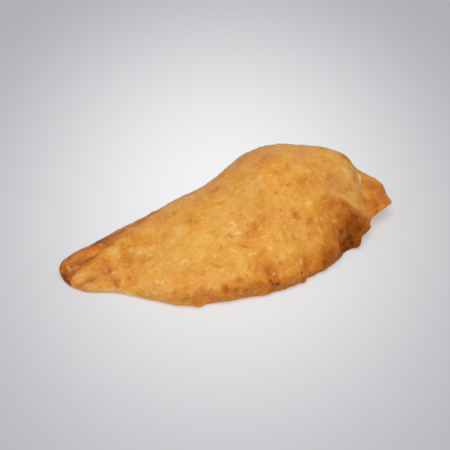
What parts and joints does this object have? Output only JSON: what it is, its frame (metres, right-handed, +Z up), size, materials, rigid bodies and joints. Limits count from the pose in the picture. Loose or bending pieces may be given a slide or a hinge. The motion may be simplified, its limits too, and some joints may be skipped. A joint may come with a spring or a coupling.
{
  "type": "fried calzone",
  "caption": "Golden fried calzone lying flat: folded dough puffed into a dome at one end, with a pinched tip, a pressed tail and a sealed near edge.",
  "frame": {"origin": "middle of the footprint, on the surface the calzone rests on", "axes": "+X from the pinched tip to the pressed tail, +Y from the sealed edge to the fold, +Z up"},
  "size_m": [0.2054, 0.0998, 0.0451],
  "materials": {
    "crust": "golden brown fried dough with darker patches, pale blisters and a slight oily sheen"
  },
  "bodies": {
    "root": {"calzone": "crust"}
  },
  "joints": []
}
